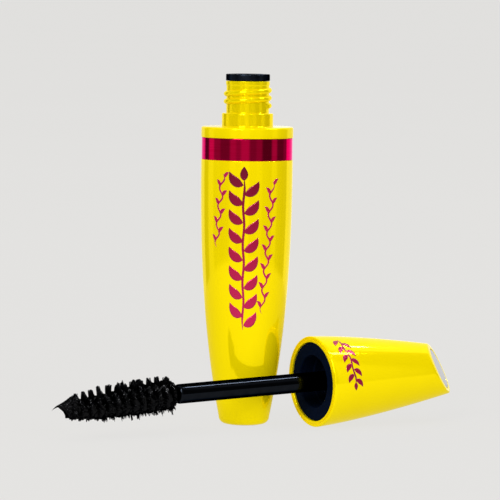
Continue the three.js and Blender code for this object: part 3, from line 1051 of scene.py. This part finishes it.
def bristle_row(number, rng):
    """One turn of the screw: a thick tooth on top, gathered by paste, and a fringe elsewhere."""
    parts = []
    start, end = (number - 1 if number > 1 else FIRST_ROW_FROM), number
    teeth = [k + TOP_TURN for k in range(-1, number + 1) if start <= k + TOP_TURN < end]
    for top in teeth:
        for _ in range(STRANDS_PER_TOOTH):
            clump = clump_of(STRAND, rng)
            middle = top + rng.uniform(-TOOTH_SCATTER, TOOTH_SCATTER) * TOOTH_SPAN
            for _ in range(BRISTLES_PER_STRAND):
                turn = top + rng.uniform(-0.5, 0.5) * TOOTH_SPAN
                parts.append(bristle(turn, middle, clump, rng))
    count = round(CLUMPS_PER_ROW * (end - start))
    for index in range(count):
        middle = start + (end - start) * (index + 0.5) / count
        from_top = abs((middle - TOP_TURN + 0.5) % 1.0 - 0.5)
        if from_top < TOOTH_SPAN / 2:
            continue
        clump = clump_of(FRINGE, rng)
        for _ in range(BRISTLES_PER_CLUMP):
            turn = middle + rng.uniform(-CLUMP_OVERLAP, CLUMP_OVERLAP) / CLUMPS_PER_ROW
            parts.append(bristle(turn, middle, clump, rng))
    name, node = f"bristles_{number:02d}", f"bristle_row_{number:02d}"
    shape = joined(parts)
    piece(name, shape, "wand", "bristle", WAND, sharp=0, replaces=[node])


# How far the paste stands from the wire above and below it, along the brush
PASTE_ABOVE = ((36, 2.3), (38, 2.9), (46, 2.8), (52, 2.2), (56, 1.7), (61, 1.3), (64, 1.0))
PASTE_BELOW = ((36, 2.4), (38, 3.1), (46, 3.4), (58, 3.0), (62, 2.6), (64, 2.0))
PASTE_FROM = STEM_LENGTH + 0.25
PASTE_TO = BRUSH_END - 0.2
PASTE_END_LENGTH = 1.2
PASTE_END_SHARE = 0.55
PASTE_SAG_POWER = 1.3
PASTE_WAVE = 0.06
PASTE_WAVE_ON_TOP = 0.4
PASTE_LUMP = 0.4
PASTE_LEAST = 0.7
PASTE_MOST = 0.97
# Lumps: how fine they are round the brush and along it, then the noise's roughness, how much
# finer each octave is, and how many octaves
COAT_LUMPS = (2.6, 1.1, 0.7, 2.1, 4)
TIP_LUMPS = (1.8, 0.9, 0.7, 2.0, 3)


def heading(angle):
    """The way out from the wire at an angle, and how far it points down, from 0 to 1."""
    direction = Vector((math.cos(angle), math.sin(angle), 0))
    return direction, 0.5 + 0.5 * direction.dot(DOWN)


def lump_height(direction, along, lumps):
    fine_round, fine_along, *fractal = lumps
    place = (direction.x * fine_round, direction.y * fine_round, along * fine_along)
    return noise.fractal(Vector(place), *fractal)


def paste_coat():
    """Paste packed round the wire: low between the bristles above, full and lumpy below."""
    rings = []
    sides = 96
    for along in steps(PASTE_FROM, PASTE_TO, 150):
        round_end = min(1.0, (along - PASTE_FROM) / PASTE_END_LENGTH + PASTE_END_SHARE)
        above = blend_through(PASTE_ABOVE, along)
        below = blend_through(PASTE_BELOW, along)
        ring = circle(1.0, -along, sides)
        for i in range(sides):
            angle = i * TURN / sides
            direction, low = heading(angle)
            wave = math.cos(TURN * (along - BRUSH_FIRST_ROW) / BRUSH_PITCH + angle)
            lump = lump_height(direction, along, COAT_LUMPS)
            radius = above + (below - above) * low**PASTE_SAG_POWER
            radius += (PASTE_WAVE + PASTE_WAVE_ON_TOP * (1 - low) ** 3) * wave + PASTE_LUMP * lump
            radius = min(radius, brush_radius(along) * PASTE_MOST) * round_end
            ring[i, :2] *= max(PASTE_LEAST, radius)
        rings.append(drooped(ring))
    first, last = drooped([(0.0, 0.0, -PASTE_FROM), (0.0, 0.0, -PASTE_TO)])
    shape = skin([[first], *rings, [last]])
    piece("paste_coat", shape, "wand", "paste", WAND, sharp=0)


TIP_ABOVE = ((60.5, 1.2), (61.0, 1.3), (61.5, 2.45), (62.2, 2.3), (66.0, 0.27), (67.6, 0.02))
TIP_BELOW = ((60.5, 2.3), (62.5, 2.45), (66.0, 0.27), (67.6, 0.02))
TIP_POINT = 66.0
TIP_THINS_OVER = 3.6
TIP_RISE_FROM = 62.4
TIP_RISE = 0.22
TIP_HOOK = 0.38
TIP_HOOK_POWER = 1.6
TIP_FOLDS = 5
TIP_FOLD_WANDER = 2.5
TIP_FOLD_TWIST = 0.3
TIP_FOLD_HEIGHT = 0.34
TIP_FOLD_BASE = 0.12
TIP_LUMP = 0.18


def paste_tip():
    """Paste drawn out past the wire's end to a hooked point, with folds that run to it."""
    count, sides = 90, 120
    start, end = TIP_ABOVE[0][0], TIP_ABOVE[-1][0]
    rings = []
    for along in steps(start, end, count):
        body = max(0.0, min(1.0, (TIP_POINT - along) / TIP_THINS_OVER))
        rise = TIP_RISE * (min(max(along, TIP_RISE_FROM), TIP_POINT) - TIP_RISE_FROM)
        fall = TIP_HOOK * max(0.0, along - TIP_POINT) ** TIP_HOOK_POWER - rise
        above, below = blend_through(TIP_ABOVE, along), blend_through(TIP_BELOW, along)
        ring = circle(1.0, -along, sides)
        for i in range(sides):
            angle = i * TURN / sides
            direction, low = heading(angle)
            lump = lump_height(direction, along, TIP_LUMPS)
            wander = TIP_FOLD_WANDER * lump + TIP_FOLD_TWIST * (along - start)
            fold = 1 - abs(math.sin(TIP_FOLDS * angle + wander))
            relief = TIP_FOLD_HEIGHT * fold - TIP_FOLD_BASE + TIP_LUMP * lump
            ring[i, :2] *= (above + (below - above) * low) * (1 + relief * body)
        ring[:, 0] += DOWN.x * fall
        ring[:, 1] += DOWN.y * fall
        rings.append(drooped(ring))
    first, last = rings[0].mean(axis=0), rings[-1].mean(axis=0)
    shape = skin([[first], *rings, [last]])
    piece("paste_tip", shape, "wand", "paste", WAND, sharp=0)


def brush():
    rng = random.Random(BRUSH_SEED)
    twisted_wire()
    for number in range(1, BRUSH_ROWS + 1):
        bristle_row(number, rng)
    paste_coat()
    paste_tip()


FINISHED_NODES = {"base_label": "paper", "mascara_formula": "paste", "seal_ring": "wiper"}


def finish_cad_nodes():
    """CAD nodes whose shape is already right take a finished material."""
    for node, material in FINISHED_NODES.items():
        obj = frame["nodes"][node]
        obj.data.materials.clear()
        obj.data.materials.append(MATERIALS[material])


# Studio


def add_camera():
    forward = Vector((0, math.cos(CAMERA_PITCH), -math.sin(CAMERA_PITCH)))
    level = Vector((1, 0, 0))
    above = level.cross(forward)
    right = level * math.cos(CAMERA_ROLL) + above * math.sin(CAMERA_ROLL)
    up = above * math.cos(CAMERA_ROLL) - level * math.sin(CAMERA_ROLL)
    data = bpy.data.cameras.new("camera")
    data.lens = CAMERA_LENS
    data.sensor_width = CAMERA_SENSOR
    data.clip_end = CAMERA_SEES_TO
    obj = new_object("camera", data)
    turn = Matrix((right, up, -forward)).transposed().to_4x4()
    place = (Vector(CAMERA_AIM) - forward * CAMERA_DISTANCE) * MM
    obj.matrix_world = Matrix.Translation(place) @ turn
    scene.camera = obj


# Each light's place and size in metres and its power in watts. The first three light the object
# softly, and the small ones show only as glints.
LIGHT_AIM = Vector((0, 0, 0.04))
KEY = ((-0.9, -1.9, 1.3), (1.0, 1.2), 36.0)
FILL = ((1.3, -1.8, 0.8), (0.8, 1.0), 19.0)
TOP = ((0.0, 0.2, 2.2), (2.4, 1.6), 15.0)
STEM_STREAK = ((0.365, 0.075, 0.60), (0.2, 0.045), 1.6)
CAP_GLINT = ((0.31, 0.345, 0.554), (0.03, 0.03), 0.3)
LEFT_GLINT = ((-0.209, -0.470, 0.653), (0.05, 0.03), 1.8)
RIGHT_GLINT = ((0.167, -0.486, 0.653), (0.04, 0.03), 1.2)


def softbox(name, place, size, power):
    data = bpy.data.lights.new(name, "AREA")
    data.shape = "RECTANGLE"
    data.size, data.size_y = size
    data.energy = power
    obj = new_object(name, data)
    obj.location = place
    obj.rotation_euler = (LIGHT_AIM - Vector(place)).to_track_quat("-Z", "Y").to_euler()
    obj.visible_camera = False
    return obj


def streak_turn(place):
    """Faces the object with its long side along the wand."""
    back = (Vector(place) - LIGHT_AIM).normalized()
    along = WAND.to_3x3().col[2]
    long_side = (along - back * along.dot(back)).normalized()
    return Matrix((long_side, back.cross(long_side), back)).transposed().to_euler()


def add_lights():
    softbox("key", *KEY)
    for name, light in (("fill", FILL), ("top", TOP)):
        softbox(name, *light).visible_glossy = False
    streak = softbox("stem_streak", *STEM_STREAK)
    streak.rotation_euler = streak_turn(streak.location)
    glints = (("cap_glint", CAP_GLINT), ("left_glint", LEFT_GLINT), ("right_glint", RIGHT_GLINT))
    for small in (streak, *(softbox(name, *light) for name, light in glints)):
        small.visible_diffuse = False


# Tall soft lights round the set and the dark gaps between them: each starts at a heading in
# degrees, measured from the camera's side towards the right, and lasts until the next
STUDIO = (
    (-180, 1.0), (-134, 0.11), (-113, 0.7), (-93, 0.3), (-72, 0.18),
    (-44, 0.45), (-28, 0.33), (-15, 0.52), (6, 0.22), (24, 0.3),
    (39, 0.1), (66, 0.45), (82, 0.13), (106, 0.23), (120, 1.2),
)
EDGE_SOFTNESS = 2.5
OVERHEAD_FROM = math.sin(math.radians(52))
OVERHEAD_FULL = math.sin(math.radians(66))
SURROUND = 0.42
SURROUND_TINT = (1, 0.99, 0.97, 1)
WHITE = (1, 1, 1, 1)


def studio_stops():
    """The lights as ramp stops, from behind on the left round to behind on the right."""
    stops = []
    for (start, bright), (end, _) in zip(STUDIO, (*STUDIO[1:], (180, 0)), strict=True):
        for at in (start + EDGE_SOFTNESS, end - EDGE_SOFTNESS):
            stops.append((at / 360 + 0.5, (bright, bright, bright)))
    return stops


def add_world():
    """A pale studio: reflections see its tall soft lights, and the camera an even backdrop."""
    world = bpy.data.worlds.new("studio")
    scene.world = world
    g = Graph(world)

    def math_node(kind, a, b):
        node = g.new("Math", a, b)
        node.operation = kind
        return node.outputs["Value"]

    def background(colour, strength):
        return g.new("Background", Color=colour, Strength=strength).outputs["Background"]

    def switch(which, first, second):
        return g.new("MixShader", which, first, second).outputs["Shader"]

    way = g.new("SeparateXYZ", Vector=g.new("TexCoord").outputs["Generated"]).outputs
    back = math_node("MULTIPLY", way["Y"], -1.0)
    round_turn = math_node("DIVIDE", math_node("ARCTAN2", way["X"], back), TURN)
    strips = background(g.ramp(math_node("ADD", round_turn, 0.5), studio_stops()), 1.0)
    overhead = g.range(way["Z"], 0.0, 1.0, OVERHEAD_FROM, OVERHEAD_FULL)
    reflected = switch(overhead, strips, background(WHITE, SURROUND))
    ray = g.new("LightPath").outputs
    lit = switch(ray["Is Glossy Ray"], background(SURROUND_TINT, SURROUND), reflected)
    both = switch(ray["Is Camera Ray"], lit, background(PALE, 1.0))
    g.feed(g.nodes["World Output"], Surface=both)


TABLE_RADIUS = 250.0
FLOOR_RADIUS = 60000.0
FLOOR_SIDES = 64


def add_floor():
    """A light table round the object, and the same surface carried on to the horizon.

    Only the table shows in reflections: beyond it they see the studio's lights.
    """
    material = floor_paint()
    middle = [(0, 0, 0)]
    edge, horizon = (circle(radius, 0, FLOOR_SIDES) for radius in (TABLE_RADIUS, FLOOR_RADIUS))
    for name, rings in (("table", [middle, edge]), ("backdrop_floor", [edge, horizon])):
        points, faces = skin(rings)
        mesh = bpy.data.meshes.new(name)
        mesh.from_pydata((np.array(points) * MM).tolist(), [], faces)
        mesh.materials.append(material)
        obj = new_object(name, mesh)
        obj.visible_glossy = name == "table"


add_camera()
bottle_skin()
neck_moulding()
band_ring()
wiper_insert()
body_ornament()
cap_skin()
end_plate()
inner_cap_moulding()
cap_ornament()
stem_rod()
brush()
finish_cad_nodes()
add_lights()
add_world()
add_floor()
scene.view_settings.view_transform = "Standard"
